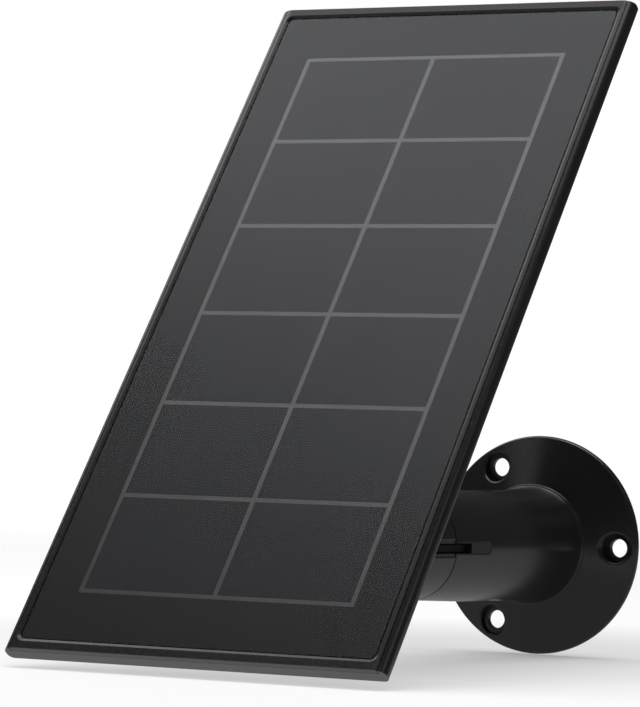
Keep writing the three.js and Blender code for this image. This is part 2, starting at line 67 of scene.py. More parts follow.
# ---------------------------------------------------------------- frames of the pieces
# The panel's own frame has X to the right, Y up the glass and Z out of it. Its origin is in the cells' faces.
panel_out = Vector(joints["panel_turn"]["axis"]).normalized()
panel_right = Vector((1, 0, 0))
panel_up = panel_out.cross(panel_right)
COVER = (0.05 * MM, 0.3 * MM)


def box_middle(node):
    low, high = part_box(node)
    return (low + high) / 2


panel_centre = box_middle("cover_glass") - panel_out * (sum(COVER) / 2)
PANEL = Matrix.Translation(panel_centre) @ Matrix((panel_right, panel_up, panel_out)).transposed().to_4x4()
pivot = Vector(joints["tilt"]["pos_m"])
BRACKET = Matrix.Translation(pivot) @ PANEL.to_3x3().to_4x4()
# The arm's frame is turned so that its Z runs out of the wall, along the arm, and its X stays to the right.
ARM = Matrix.Rotation(math.pi / 2, 4, "X")


# ---------------------------------------------------------------- materials
NOISE_LOW, NOISE_HIGH = 0.3, 0.7   # what a noise texture's values mostly lie between


class Nodes:
    """A short way to lay out a node tree."""

    def __init__(self, name):
        self.material = bpy.data.materials.new(name)
        self.material.use_nodes = True
        self.tree = self.material.node_tree
        self.tree.nodes.clear()
        self.output = self.add("ShaderNodeOutputMaterial")
        self.where = self.add("ShaderNodeTexCoord").outputs["Object"]

    def add(self, kind, inputs=None, **settings):
        node = self.tree.nodes.new(kind)
        for key, value in settings.items():
            setattr(node, key, value)
        for key, value in (inputs or {}).items():
            if isinstance(value, bpy.types.NodeSocket):
                self.tree.links.new(value, node.inputs[key])
            else:
                node.inputs[key].default_value = value
        return node

    def shader(self, **inputs):
        bsdf = self.add("ShaderNodeBsdfPrincipled", {k.replace("_", " "): v for k, v in inputs.items()})
        self.surface(bsdf)

    def surface(self, shader):
        self.tree.links.new(shader.outputs[0], self.output.inputs["Surface"])

    def noise(self, scale, detail=3.0, roughness=0.5):
        made = self.add("ShaderNodeTexNoise", {
            "Vector": self.where, "Scale": scale, "Detail": detail, "Roughness": roughness})
        return made.outputs["Fac"]

    def spread(self, value, low, high, start=NOISE_LOW, end=NOISE_HIGH):
        """Maps a value between start and end onto low to high."""
        made = self.add("ShaderNodeMapRange", {
            "Value": value, "From Min": start, "From Max": end, "To Min": low, "To Max": high})
        return made.outputs[0]

    def tint(self, value, dark, light):
        made = self.add("ShaderNodeValToRGB", {"Fac": value})
        ramp = made.color_ramp.elements
        ramp[0].position, ramp[1].position = NOISE_LOW, NOISE_HIGH
        ramp[0].color, ramp[1].color = (*dark, 1), (*light, 1)
        return made.outputs[0]

    def bump(self, height, distance, strength=1.0, under=None):
        inputs = {"Height": height, "Distance": distance, "Strength": strength}
        if under is not None:
            inputs["Normal"] = under
        return self.add("ShaderNodeBump", inputs).outputs[0]


GRAIN = 0.0015 * MM      # height of the mouldings' fine grain


def moulded(name, dark, light, rough=(0.20, 0.27), sheen=0.5):
    """Fine-grained moulding: soft cloudiness in its colour, a spark texture in its gloss."""
    n = Nodes(name)
    cloud = n.noise(55, 4)
    fine = n.noise(2600, 2, 0.6)
    normal = n.bump(fine, GRAIN, 0.5, n.bump(n.noise(240, 2), 0.006 * MM, 0.5))
    n.shader(
        Base_Color=n.tint(cloud, dark, light),
        Roughness=n.spread(n.noise(900, 3), *rough),
        Specular_IOR_Level=sheen,
        Normal=normal,
    )
    return n.material


def rubber(name):
    n = Nodes(name)
    normal = n.bump(n.noise(1800, 4, 0.7), 0.03 * MM, 0.6)
    n.shader(
        Base_Color=n.tint(n.noise(140, 3), (0.012, 0.012, 0.012), (0.020, 0.020, 0.019)),
        Roughness=n.spread(n.noise(500), 0.72, 0.86),
        Normal=normal,
    )
    return n.material


def metal(name, dark, light, rough):
    """Turned or drawn metal: fine lines, drawn out across one axis."""
    n = Nodes(name)
    mapped = n.add("ShaderNodeMapping", {"Vector": n.where, "Scale": (1, 1, 40)}).outputs[0]
    lines = n.add("ShaderNodeTexNoise", {"Vector": mapped, "Scale": 900.0, "Detail": 3.0}).outputs["Fac"]
    n.shader(
        Base_Color=n.tint(n.noise(220, 3), dark, light),
        Metallic=1.0,
        Roughness=n.spread(lines, *rough),
        Normal=n.bump(lines, 0.008 * MM, 0.4),
    )
    return n.material


UNDER_COVER = 0.08       # weak gloss of what lies under the cover, which has its own


def silicon(name):
    """A cell's dark face with its fine, hardly visible fingers."""
    n = Nodes(name)
    fingers = n.add("ShaderNodeTexWave", {
        "Vector": n.where, "Scale": 420.0, "Distortion": 0.0}, bands_direction="X").outputs["Fac"]
    base = n.tint(n.noise(60, 5, 0.6), (0.0070, 0.0073, 0.0085), (0.0090, 0.0094, 0.0108))
    shade = n.add("ShaderNodeMix", {
        "Factor": n.spread(fingers, 0.0, 0.10, 0.9, 1.0), "A": base, "B": (0.03, 0.03, 0.032, 1)},
        data_type="RGBA")
    n.shader(
        Base_Color=shade.outputs["Result"],
        Roughness=n.spread(n.noise(700), 0.34, 0.44),
        Specular_IOR_Level=UNDER_COVER,
        Normal=n.bump(n.noise(1500, 3), 0.001 * MM, 0.3),
    )
    return n.material


def film(name, dark, light, rough=(0.4, 0.5), metallic=0.0):
    n = Nodes(name)
    n.shader(
        Base_Color=n.tint(n.noise(160, 4), dark, light),
        Metallic=metallic,
        Specular_IOR_Level=UNDER_COVER,
        Roughness=n.spread(n.noise(800), *rough),
        Normal=n.bump(n.noise(1600, 3), 0.001 * MM, 0.3),
    )
    return n.material


def cover(name):
    """Thin satin cover sheet: clear, with a soft reflection that grows towards grazing."""
    n = Nodes(name)
    ripple = n.bump(n.noise(2200, 2), 0.0006 * MM, 0.3, n.bump(n.noise(18, 2), 0.01 * MM, 0.2))
    clear = n.add("ShaderNodeBsdfTransparent", {"Color": (0.94, 0.94, 0.945, 1)})
    satin = n.spread(n.noise(600), 0.301, 0.308)
    gloss = n.add("ShaderNodeBsdfGlossy", {
        "Color": (0.95, 0.965, 1, 1), "Roughness": satin, "Normal": ripple})
    fresnel = n.add("ShaderNodeFresnel", {"IOR": 1.45, "Normal": ripple}).outputs[0]
    inside = n.add("ShaderNodeNewGeometry").outputs["Backfacing"]
    outside = n.add("ShaderNodeMath", {0: 1.0, 1: inside}, operation="SUBTRACT").outputs[0]
    amount = n.add("ShaderNodeMath", {0: fresnel, 1: outside}, operation="MULTIPLY").outputs[0]
    mixed = n.add("ShaderNodeMixShader", {0: amount, 1: clear.outputs[0], 2: gloss.outputs[0]})
    n.surface(mixed)
    return n.material


def circuit_board(name):
    n = Nodes(name)
    n.shader(
        Base_Color=n.tint(n.noise(400, 2), (0.012, 0.070, 0.026), (0.018, 0.092, 0.034)),
        Roughness=n.spread(n.noise(900), 0.35, 0.45),
        Normal=n.bump(n.noise(1200), 0.01 * MM, 0.5),
    )
    return n.material


FINISH = {
    "shell": moulded("shell_black", (0.0078, 0.0077, 0.0075), (0.0105, 0.0103, 0.0100)),
    "bezel": moulded(
        "bezel_black", (0.0080, 0.0080, 0.0082), (0.0105, 0.0105, 0.0108), (0.24, 0.31), 0.34),
    "key": moulded("key_black", (0.0030, 0.0030, 0.0030), (0.0045, 0.0045, 0.0045), (0.5, 0.6), 0.2),
    "rubber": rubber("seal_rubber"),
    "steel": metal("stainless", (0.50, 0.50, 0.51), (0.60, 0.60, 0.60), (0.24, 0.36)),
    "brass": metal("turned_brass", (0.56, 0.40, 0.17), (0.66, 0.49, 0.23), (0.25, 0.38)),
    "cell": silicon("silicon_cell"),
    "mask": film("black_backing", (0.0030, 0.0031, 0.0035), (0.0038, 0.0040, 0.0044)),
    "grid_line": film("pale_backing", (0.105, 0.105, 0.104), (0.118, 0.118, 0.117), (0.30, 0.36), 1.0),
    "cover_glass": cover("satin_cover"),
    "board": circuit_board("solder_resist"),
    "component": moulded("component_black", (0.012, 0.012, 0.012), (0.020, 0.020, 0.020), (0.45, 0.55)),
    "connector": moulded("connector_white", (0.50, 0.49, 0.46), (0.58, 0.57, 0.53), (0.45, 0.55)),
}


# ---------------------------------------------------------------- making meshes
def new_object(name, mesh):
    made = bpy.data.objects.new(name, mesh)
    bpy.context.scene.collection.objects.link(made)
    return made


def apply_modifiers(thing):
    """Makes the modifiers' result the object's own mesh."""
    bpy.context.view_layer.update()
    graph = bpy.context.evaluated_depsgraph_get()
    mesh = bpy.data.meshes.new_from_object(thing.evaluated_get(graph))
    thing.modifiers.clear()
    old, thing.data = thing.data, mesh
    bpy.data.meshes.remove(old)
    return thing


def from_bmesh(name, shape):
    bmesh.ops.recalc_face_normals(shape, faces=shape.faces)
    mesh = bpy.data.meshes.new(name)
    shape.to_mesh(mesh)
    shape.free()
    return new_object(name, mesh)


def skin(name, rings):
    """A closed skin over rings of points, in metres. A first or last ring of one point is a tip, and a longer
    one gets a cap."""
    shape = bmesh.new()
    loops = [[shape.verts.new(point) for point in ring] for ring in rings]
    sides = max(len(loop) for loop in loops)
    for a, b in zip(loops, loops[1:]):
        if len(a) == 1 and len(b) == 1:
            continue
        for i in range(sides):
            j = (i + 1) % sides
            corners = [a[i % len(a)], a[j % len(a)], b[j % len(b)], b[i % len(b)]]
            shape.faces.new(list(dict.fromkeys(corners)))
    for loop in (loops[0], loops[-1]):
        if len(loop) > 1:
            shape.faces.new(loop)
    return from_bmesh(name, shape)


def eased(outline):
    """Rounds the corners of a closed outline. Its points are (x, y), or (x, y, radius) at a round corner."""
    steps = 4
    points = []
    for i, (x, y, *radius) in enumerate(outline):
        here = Vector((x, y))
        if not radius:
            points.append((x, y))
            continue
        before, after = (Vector(outline[k][:2]) - here for k in (i - 1, (i + 1) % len(outline)))
        inner = before.angle(after)
        reach = min(radius[0] / math.tan(inner / 2), before.length * 0.49, after.length * 0.49)
        r = reach * math.tan(inner / 2)
        centre = here + (before.normalized() + after.normalized()).normalized() * (r / math.sin(inner / 2))
        first = here + before.normalized() * reach - centre
        last = here + after.normalized() * reach - centre
        turn = first.angle_signed(last)
        for k in range(steps + 1):
            point = centre + Matrix.Rotation(-turn * k / steps, 2) @ first
            points.append(tuple(point))
    return points


ON_AXIS = 1e-6


def turned(name, outline, sides=128, radius_at=None):
    """Turns (radius, height) points, in mm, about Z. An outline that keeps off the axis closes on itself."""
    points = eased(outline)
    if all(radius > ON_AXIS for radius, _ in points):
        points.append(points[0])
    rings = []
    for radius, height in points:
        if radius < ON_AXIS:
            rings.append([(0, 0, height * MM)])
            continue
        ring = []
        for i in range(sides):
            a = 2 * math.pi * i / sides
            r = (radius_at(radius, a) if radius_at else radius) * MM
            ring.append((r * math.cos(a), r * math.sin(a), height * MM))
        rings.append(ring)
    if len(rings[0]) == 1:
        return skin(name, rings)
    shape = bmesh.new()
    loops = [[shape.verts.new(point) for point in ring] for ring in rings[:-1]]
    for a, b in zip(loops, loops[1:] + loops[:1]):
        for i in range(sides):
            j = (i + 1) % sides
            shape.faces.new([a[i], a[j], b[j], b[i]])
    return from_bmesh(name, shape)


def threaded(name, radius, low, high, pitch, depth, sides=48):
    """A rod with a cut thread and chamfered ends, along Z."""
    per_turn = 8
    steps = round((high - low) / pitch * per_turn)
    rings = [[(0, 0, low * MM)]]
    for k in range(steps + 1):
        z = low + (high - low) * k / steps
        ring = []
        for i in range(sides):
            phase = (z / pitch - i / sides) % 1
            from_groove = abs(2 * phase - 1)
            groove = depth * (1 - from_groove * 1.25) if from_groove < 0.8 else 0
            lead = max(0.0, pitch * 0.6 - min(z - low, high - z))
            r = min(radius - groove, radius - lead) * MM
            a = 2 * math.pi * i / sides
            ring.append((r * math.cos(a), r * math.sin(a), z * MM))
        rings.append(ring)
    rings.append([(0, 0, high * MM)])
    return skin(name, rings)


def prism(name, outline, low, high):
    """Extrudes a closed outline of (x, y), in mm, from low to high in Z."""
    points = eased(outline)
    return skin(name, [[(x * MM, y * MM, z * MM) for x, y in points] for z in (low, high)])


def arc(cx, cy, radius, start, end, steps):
    """Points on an arc, angles in degrees. The radius is a number, or a pair for an ellipse."""
    rx, ry = radius if isinstance(radius, tuple) else (radius, radius)
    points = []
    for i in range(steps + 1):
        a = math.radians(start + (end - start) * i / steps)
        points.append((cx + rx * math.cos(a), cy + ry * math.sin(a)))
    return points


def rounded_rect(width, height, radius, centre=(0, 0), steps=8):
    x, y = width / 2 - radius, height / 2 - radius
    cx, cy = centre
    points = []
    for sx, sy, start in ((1, 1, 0), (-1, 1, 90), (-1, -1, 180), (1, -1, 270)):
        points += arc(cx + sx * x, cy + sy * y, radius, start, start + 90, steps)
    return points


def circle(radius, centre=(0, 0), sides=48):
    return arc(*centre, radius, 0, 360 - 360 / sides, sides - 1)


def curve(start, bend, end, steps):
    """A quadratic curve from start to end, pulled towards bend; the start itself is left out."""
    points = []
    for i in range(1, steps + 1):
        t = i / steps
        points.append(tuple(
            (1 - t) ** 2 * s + 2 * t * (1 - t) * b + t * t * e for s, b, e in zip(start, bend, end)))
    return points


def flared(outline, floor, surface, radius, above=3.0):
    """A cutter whose mouth opens in a round where it meets a surface. The outline runs counter-clockwise, in
    mm. surface(x, y) is the height that the mouth comes out at, and floor is a height or such a function."""
    flats = [Vector(p) for p in outline]
    outwards = []
    for before, after in zip(flats[-1:] + flats[:-1], flats[1:] + flats[:1]):
        along = after - before
        outwards.append(Vector((along.y, -along.x)).normalized())
    base = floor if callable(floor) else (lambda x, y: floor)

    def ring(points, height_at):
        return [(p.x * MM, p.y * MM, height_at(p) * MM) for p in points]

    def moved(distance):
        return [p + out * distance for p, out in zip(flats, outwards)]

    rings = [ring(flats, lambda p: base(p.x, p.y))]
    steps = 5
    for k in range(steps + 1):
        t = math.radians(80) * k / steps
        sunk = radius * (1 - math.sin(t))
        rings.append(ring(moved(radius * (1 - math.cos(t))), lambda p: surface(p.x, p.y) - sunk))
    wide = moved(radius * 1.1)
    rings.append(ring(wide, lambda p: surface(p.x, p.y) + radius * 0.06))
    top = max(surface(p.x, p.y) for p in wide) + above
    rings.append(ring(wide, lambda p: top))
    return skin("cutter", rings)


def cut(thing, *tools, operation="DIFFERENCE"):
    for tool in tools:
        step = thing.modifiers.new("cut", "BOOLEAN")
        step.operation, step.solver, step.object = operation, "EXACT", tool
        apply_modifiers(thing)
        bpy.data.objects.remove(tool)
    return thing


def join(thing, *others):
    return cut(thing, *others, operation="UNION")


def intersect(thing, other):
    return cut(thing, other, operation="INTERSECT")


def soften(thing, width, segments=3, angle=32):
    """Rounds the edges sharper than the angle, in mm and degrees."""
    step = thing.modifiers.new("soften", "BEVEL")
    step.width, step.segments = width * MM, segments
    step.limit_method, step.angle_limit = "ANGLE", math.radians(angle)
    step.miter_outer = "MITER_ARC"
    return apply_modifiers(thing)


def place(thing, *matrices):
    for matrix in matrices:
        thing.data.transform(matrix)
    return thing


def shift(x, y, z):
    """A move in mm."""
    return Matrix.Translation((x * MM, y * MM, z * MM))


def smooth(thing, angle):
    """Shades a piece smooth, apart from the edges sharper than the angle, in degrees."""
    thing.data.shade_smooth()
    sharp = math.radians(angle)
    shape = bmesh.new()
    shape.from_mesh(thing.data)
    for edge in shape.edges:
        if len(edge.link_faces) == 2 and edge.calc_face_angle(0) > sharp:
            edge.smooth = False
    shape.to_mesh(thing.data)
    shape.free()
    step = thing.modifiers.new("normals", "WEIGHTED_NORMAL")
    step.keep_sharp = True
    apply_modifiers(thing)


def fit(thing, body, slot, *nodes, angle=35):
    """Finishes a piece: its material, its body, its slot and the CAD nodes that it stands for."""
    smooth(thing, angle)
    thing.data.materials.clear()
    thing.data.materials.append(FINISH[slot])
    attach(thing, body)
    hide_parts(*nodes)


# ---------------------------------------------------------------- camera, floor and lights
CAMERA_AT = (0.4709, -0.9793, 0.0245)
AZIMUTH, RISE, ROLL = math.radians(28.98), math.radians(1.39), math.radians(1.83)
LENS = 200


def camera():
    """A long lens, 29 degrees to the panel's right and just above the floor."""
    forward = Vector((
        -math.sin(AZIMUTH) * math.cos(RISE), math.cos(AZIMUTH) * math.cos(RISE), math.sin(RISE)))
    level = Vector((math.cos(AZIMUTH), math.sin(AZIMUTH), 0))
    right = level * math.cos(ROLL) + level.cross(forward) * math.sin(ROLL)
    up = right.cross(forward)
    data = bpy.data.cameras.new("camera")
    data.lens, data.sensor_width, data.sensor_fit = LENS, 36, "AUTO"
    data.clip_start, data.clip_end = 0.01, 50
    made = new_object("camera", data)
    turn = Matrix((right, up, -forward)).transposed().to_4x4()
    made.matrix_world = Matrix.Translation(CAMERA_AT) @ turn
    bpy.context.scene.camera = made


def area(name, place_at, aim_at, size, radiance, along):
    """A rectangular softbox of a stated radiance, with its second side along the direction given."""
    data = bpy.data.lights.new(name, "AREA")
    data.shape, data.size, data.size_y = "RECTANGLE", size[0], size[1]
    data.energy = math.pi * size[0] * size[1] * radiance
    made = new_object(name, data)
    back = (Vector(place_at) - Vector(aim_at)).normalized()
    side = Vector(along).cross(back).normalized()
    turn = Matrix((side, back.cross(side), back)).transposed().to_4x4()
    made.matrix_world = Matrix.Translation(place_at) @ turn


def world_light(seen, soft, mirrored):
    """A white background for the eye, soft light from all round, and a dim studio in the reflections."""
    world = bpy.data.worlds.new("studio")
    world.use_nodes = True
    world.cycles.sampling_method = "NONE"
    tree = world.node_tree
    background = tree.nodes["Background"]
    background.inputs["Color"].default_value = (1, 1, 1, 1)
    ray = tree.nodes.new("ShaderNodeLightPath").outputs
    strength = soft
    for kind, value in (("Is Glossy Ray", mirrored), ("Is Camera Ray", seen)):
        choose = tree.nodes.new("ShaderNodeMix")
        tree.links.new(ray[kind], choose.inputs["Factor"])
        if isinstance(strength, float):
            choose.inputs["A"].default_value = strength
        else:
            tree.links.new(strength, choose.inputs["A"])
        choose.inputs["B"].default_value = value
        strength = choose.outputs["Result"]
    tree.links.new(strength, background.inputs["Strength"])
    bpy.context.scene.world = world


FLOOR_R, FLOOR_Y = 1.6, -0.08
FLOOR_DROP = 0.0002                # how far under the part the floor lies
FADE = (0.45, 1.4)                 # where the floor starts to fade out, and where it is gone
# The floor's glow is even, apart from a lower glow round the arm's foot: a painted shadow.
GLOW, GLOW_IN_PAINTED_SHADOW = 0.49, 0.26
ARM_FOOT = (-0.03, 0.03, -0.03)
# What the floor shows in reflections is painted light: a bright strip under the panel's lower edge and a dim glow
# elsewhere.
PAINTED_REFLECTION_NEAR, PAINTED_REFLECTION_FAR = 1.0, 0.36
PANEL_EDGE_Y = -0.186              # the panel's lower edge


def pale_floor():
    """A white disc that fades out into the background. Its glow is lower round the arm's foot, a painted shadow
    there, and in reflections it shows only painted light: a bright strip under the panel's lower edge and a dim
    glow elsewhere."""
    shape = bmesh.new()
    bmesh.ops.create_circle(shape, cap_ends=True, segments=96, radius=FLOOR_R)
    level = cad_box[0][2] - FLOOR_DROP
    floor = place(from_bmesh("floor", shape), Matrix.Translation((0, FLOOR_Y, level)))
    n = Nodes("floor_white_painted_light")
    paint = n.tint(n.noise(3, 2), (0.43, 0.43, 0.43), (0.45, 0.45, 0.45))
    lit = n.add("ShaderNodeBsdfDiffuse", {"Color": paint})
    # Painted shadow: the glow drops near the arm's foot.
    from_arm = n.add("ShaderNodeVectorMath", {0: n.where, 1: ARM_FOOT}, operation="DISTANCE").outputs["Value"]
    glow = n.add("ShaderNodeEmission", {"Strength": n.spread(from_arm, GLOW_IN_PAINTED_SHADOW, GLOW, 0.04, 0.18)})
    white = n.add("ShaderNodeAddShader", {0: lit.outputs[0], 1: glow.outputs[0]})
    # In reflections the floor shows only this painted light, bright near the panel's lower edge and dim elsewhere.
    along = n.add("ShaderNodeSeparateXYZ", {0: n.where}).outputs["Y"]
    from_edge = n.add("ShaderNodeMath", {0: along, 1: PANEL_EDGE_Y}, operation="SUBTRACT").outputs[0]
    from_edge = n.add("ShaderNodeMath", {0: from_edge}, operation="ABSOLUTE").outputs[0]
    strength = n.spread(from_edge, PAINTED_REFLECTION_NEAR, PAINTED_REFLECTION_FAR, 0.02, 0.06)
    mirrored = n.add("ShaderNodeEmission", {"Strength": strength})
    is_mirrored = n.add("ShaderNodeLightPath").outputs["Is Glossy Ray"]
    seen = n.add("ShaderNodeMixShader", {0: is_mirrored, 1: white.outputs[0], 2: mirrored.outputs[0]})
    away = n.add("ShaderNodeVectorMath", {0: n.where}, operation="LENGTH").outputs["Value"]
    fade = n.add("ShaderNodeMapRange", {
        "Value": away, "From Min": FADE[0], "From Max": FADE[1], "To Min": 0.0, "To Max": 1.0},
        interpolation_type="SMOOTHSTEP").outputs[0]
    clear = n.add("ShaderNodeBsdfTransparent")
    n.surface(n.add("ShaderNodeMixShader", {0: fade, 1: seen.outputs[0], 2: clear.outputs[0]}))
    floor.data.materials.append(n.material)


TO_PANEL, TO_ARM = (0, -0.12, 0.06), (0, -0.05, 0)
UPRIGHT = (0, 0, 1)
SOFTBOXES = (
    # name, place, what it faces, size, radiance, direction of its second side
    ("panel_box", (-0.45, -0.09, 1.30), TO_PANEL, (1.3, 0.9), 1.62, (-0.62, -0.78, 0)),
    ("top_box", (0.12, 0.0, 1.30), TO_PANEL, (0.7, 0.7), 3.0, (0, 1, 0)),
    ("back_left_box", (-0.92, 0.55, 0.62), TO_PANEL, (0.9, 0.45), 1.0, UPRIGHT),
    ("rim_box", (-0.86, 0.05, 0.96), TO_PANEL, (0.45, 0.45), 1.8, (0, 1, 0)),
    ("left_box", (-0.66, -0.92, 0.78), TO_ARM, (0.45, 0.4), 0.60, UPRIGHT),
    ("right_box", (0.85, -0.50, 0.88), TO_ARM, (0.35, 0.35), 0.8, UPRIGHT),
)


def studio():
    bpy.context.scene.view_settings.view_transform = "Standard"
    world_light(seen=1.0, soft=0.55, mirrored=0.06)
    pale_floor()
    for softbox in SOFTBOXES:
        area(*softbox)


camera()
studio()


# ---------------------------------------------------------------- arm on the wall
# Lengths in mm. A name ending in _S is a distance from the wall along the arm, and one ending in _R a radius.
WALL, KNUCKLE, TILTING, TURNING = "wall_arm", "knuckle", "bracket", "panel"
GAP = 0.3                          # what shows at a seam
FLANGE_R, RIM_S = 30, 2.2
RING_R, RING_S = 16.6, 7
NECK_FOOT, NECK_END = (16.25, 7.6), (14.9, 29)
MIDDLE_R, MIDDLE_S = 14.7, 51
TUBE_R, SEAM_S = 13.9, 78.1
BORE_R = 9.3
COLLAR_S = 94
PIVOT_S = -pivot.y / MM
SCREW_CIRCLE_R, SCREW_HOLE_R = 24.3, 2.5
POCKET_R, SEAT_S = 3.95, 1.6       # the pockets that the screws' heads sit in
SLOT_S, SLOT_LONG = 59.6, 24
SLOT_FLOOR, SLOT_SLOPE = 13.4, 0.04
KEY_S = 79.6                       # the key's middle
PAD_R, PAD_S = 18.7, 1
# A frame for what is cut into the right-hand side: X is up, Y runs along the arm and Z to the right.
SIDE = Matrix(((0, 0, 1), (0, -1, 0), (1, 0, 0))).to_4x4()
OTHER_SIDE = Matrix.Rotation(math.pi, 4, "Y") @ SIDE


def flange_height(x, y):
    """Height of the flange's sloping front at a point in the arm's frame."""
    share = (FLANGE_R - math.hypot(x, y)) / (FLANGE_R - RING_R)
    return RIM_S + share * (RING_S - RIM_S)


def tube_side(x, y):
    """How far right the tube's skin is, at height x and distance y along it."""
    share = min(1.0, max(0.0, (y - MIDDLE_S) / (SEAM_S - MIDDLE_S)))
    radius = MIDDLE_R + share * (TUBE_R - MIDDLE_R)
    return math.sqrt(radius ** 2 - x * x)


def straight_side(x, y):
    """The same beyond the seam, where the tube no longer narrows."""
    return math.sqrt(TUBE_R ** 2 - x * x)


def slot_floor(x, y):
    """The slot gets shallower towards the wall."""
    return SLOT_FLOOR + (SLOT_S + SLOT_LONG - y) * SLOT_SLOPE


def slot_outline(width, start, length):
    """A slot along the tube with round ends."""
    return rounded_rect(width, length, width / 2 - 0.001, (0, start + length / 2))


def neck():
    """A quarter ellipse from the ring's foot to the tube."""
    (foot_r, foot_s), (end_r, end_s) = NECK_FOOT, NECK_END
    steps = 16
    points = []
    for i in range(steps + 1):
        a = math.radians(90) * i / steps
        points.append((
            foot_r - (foot_r - end_r) * math.sin(a),
            foot_s + (end_s - foot_s) * (1 - math.cos(a))))
    return points


def screw_holes():
    """Cutters for the three counterbored holes in the flange."""
    cutters = []
    for degrees in (0, 120, 240):
        a = math.radians(degrees)
        middle = (SCREW_CIRCLE_R * math.cos(a), SCREW_CIRCLE_R * math.sin(a))
        pocket = flared(circle(POCKET_R, middle), SEAT_S, flange_height, 0.7)
        hole = flared(circle(SCREW_HOLE_R, middle, 40), -1, lambda x, y: SEAT_S, 0.2, above=0.4)
        cutters += [place(pocket, ARM), place(hole, ARM)]
    return cutters


def key_space():
    return place(prism("key_space", rounded_rect(2.6, 19.4, 0.3, (0, KEY_S)), 9.4, 18), SIDE)


def arm_body():
    body = turned("arm_body_moulded", [
        (0, 38), (8, 38, 0.5), (8, 1.3, 0.3), (19, 1.3, 0.2), (19, 0, 0.2), (FLANGE_R, 0, 0.9),
        (FLANGE_R, RIM_S, 1.0), (RING_R, RING_S, 0.3), (RING_R, RING_S + 0.42, 0.16),
        *neck(),
        (MIDDLE_R, MIDDLE_S), (TUBE_R, SEAM_S, 0.35), (BORE_R, SEAM_S, 0.3), (BORE_R, 45, 0.5), (0, 45),
    ], sides=192)
    slot = place(flared(slot_outline(2.8, SLOT_S, SLOT_LONG), slot_floor, tube_side, 0.4), SIDE)
    cut(place(body, ARM), *screw_holes(), slot, key_space())
    fit(body, WALL, "shell", "arm_body")


def end_collar():
    face = SEAM_S + GAP
    collar = place(turned("end_collar_moulded", [
        (7.8, 59, 0.3), (9, 59, 0.4), (9, face, 0.2), (TUBE_R, face, 0.35), (TUBE_R, COLLAR_S, 0.35),
        (12.2, COLLAR_S, 0.1), (12.2, COLLAR_S - 1.2), (10, COLLAR_S - 1.2), (10, COLLAR_S, 0.1),
        (8.2, COLLAR_S, 0.2), (8.2, 81), (4.3, 81), (4.3, 69), (7.8, 69),
    ], sides=160), ARM)
    slot = place(flared(slot_outline(4.15, 71, 20), SLOT_FLOOR, straight_side, 0.4), SIDE)
    cut(collar, slot, key_space())
    fit(collar, WALL, "shell", "end_collar")


def locking_key():
    key = prism("locking_key_bar", rounded_rect(2.2, 18.8, 0.3, (0, KEY_S)), 9.7, 12.4)
    fit(place(soften(key, 0.22), SIDE), WALL, "key", "locking_key")


def wall_pad():
    """Foam pad with rings pressed into the face that lies on the wall."""
    outline = [(0, PAD_S), (PAD_R, PAD_S, 0.15), (PAD_R, 0, 0.15)]
    for r in (17, 14, 11, 8, 5):
        outline += [(r, 0, 0.08), (r - 0.3, 0.25, 0.08), (r - 0.7, 0.25, 0.08), (r - 1, 0, 0.08)]
    pad = turned("wall_pad_foam", [*outline, (0, 0)], sides=96)
    fit(place(pad, ARM), WALL, "rubber", "wall_pad")


def swivel_parts():
    seal = turned("swivel_seal_ring", circle(0.65, (11.1, COLLAR_S - 0.45), 16), sides=96)
    fit(place(seal, ARM), WALL, "rubber", "swivel_seal")
    washer = turned("swivel_washer_ring", [
        (4.3, 67.9, 0.1), (7.5, 67.9, 0.15), (7.5, 68.9, 0.15), (4.3, 68.9, 0.1)], sides=72)
    fit(place(washer, ARM), WALL, "steel", "swivel_washer")
    screw = turned("swivel_screw_turned", [
        (0, 63.8), (6, 63.8, 0.4), (6, 67.8, 0.15), (4, 67.8), (4, 81.1, 0.15), (2.5, 81.1), (2.5, 81.3),
        (0, 81.3)], sides=64)
    join(screw, threaded("thread", 3, 81.2, 91, 1.0, 0.5))
    cut(screw, prism("hex", circle(2.9, sides=6), 60, 66.3))
    fit(place(screw, ARM), KNUCKLE, "steel", "swivel_screw")


def swivel_knuckle():
    rear, back, front = 81.3, COLLAR_S + GAP, PIVOT_S + 14
    body = place(turned("swivel_knuckle_moulded", [
        (0, rear), (7.9, rear, 0.4), (7.9, back, 0.2), (TUBE_R, back, 0.35), (TUBE_R, front, 0.3),
        (0, front)], sides=160), ARM)
    reach, ear_r, neck_s = TUBE_R + 1, 12, PIVOT_S - 15
    upper = [(reach, rear - 2), (reach, neck_s)]
    upper += curve((reach, neck_s), (ear_r, neck_s + 2), (ear_r, PIVOT_S), 12)
    tip = arc(0, PIVOT_S, ear_r, 0, 180, 40)[1:]
    lower = [(-x, s) for x, s in reversed(upper)][1:]
    intersect(body, place(prism("ears", [*upper, *tip, *lower], -reach, reach), SIDE))
    floor_s, half_gap = PIVOT_S - 11, 5.6
    fork = [(-reach, floor_s), (reach, floor_s), (reach, front + 1), (-reach, front + 1)]
    cut(body, place(prism("fork", fork, -half_gap, half_gap), SIDE))
    soften(body, 0.35)
    for side in (SIDE, OTHER_SIDE):
        cut(body, place(flared(circle(5.3, (0, PIVOT_S)), 9.9, straight_side, 0.3), side))
    bore = prism("bore", circle(3.3, (0, PIVOT_S), 32), -reach, reach)
    tapped = prism("tapped", circle(3.3, sides=32), rear - 1, 92)
    cut(body, place(bore, SIDE), place(tapped, ARM))
    fit(body, KNUCKLE, "shell", "swivel_knuckle")


